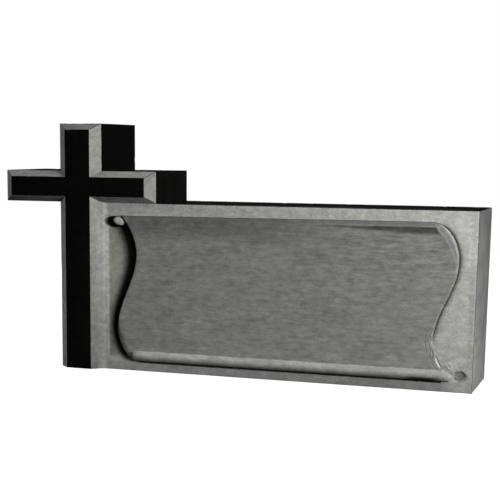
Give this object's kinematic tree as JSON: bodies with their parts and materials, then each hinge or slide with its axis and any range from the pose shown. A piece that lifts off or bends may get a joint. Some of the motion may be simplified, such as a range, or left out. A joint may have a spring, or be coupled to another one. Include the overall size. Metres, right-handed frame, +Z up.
{
  "type": "granite tombstone",
  "caption": "Low black granite tombstone carved from one block: bevelled cross at the left end, dressed slab with an unrolled scroll in relief.",
  "frame": {"origin": "middle of the underside of the block's overall box", "axes": "+X along the slab from the cross to the plain end, +Y from the carved face to the back, +Z up"},
  "size_m": [1.09, 0.205, 0.557],
  "materials": {
    "granite": "dressed grey on the carved face and the slab's end, polished black on the cross and the top"
  },
  "bodies": {
    "root": {"tombstone": "granite"}
  },
  "joints": []
}
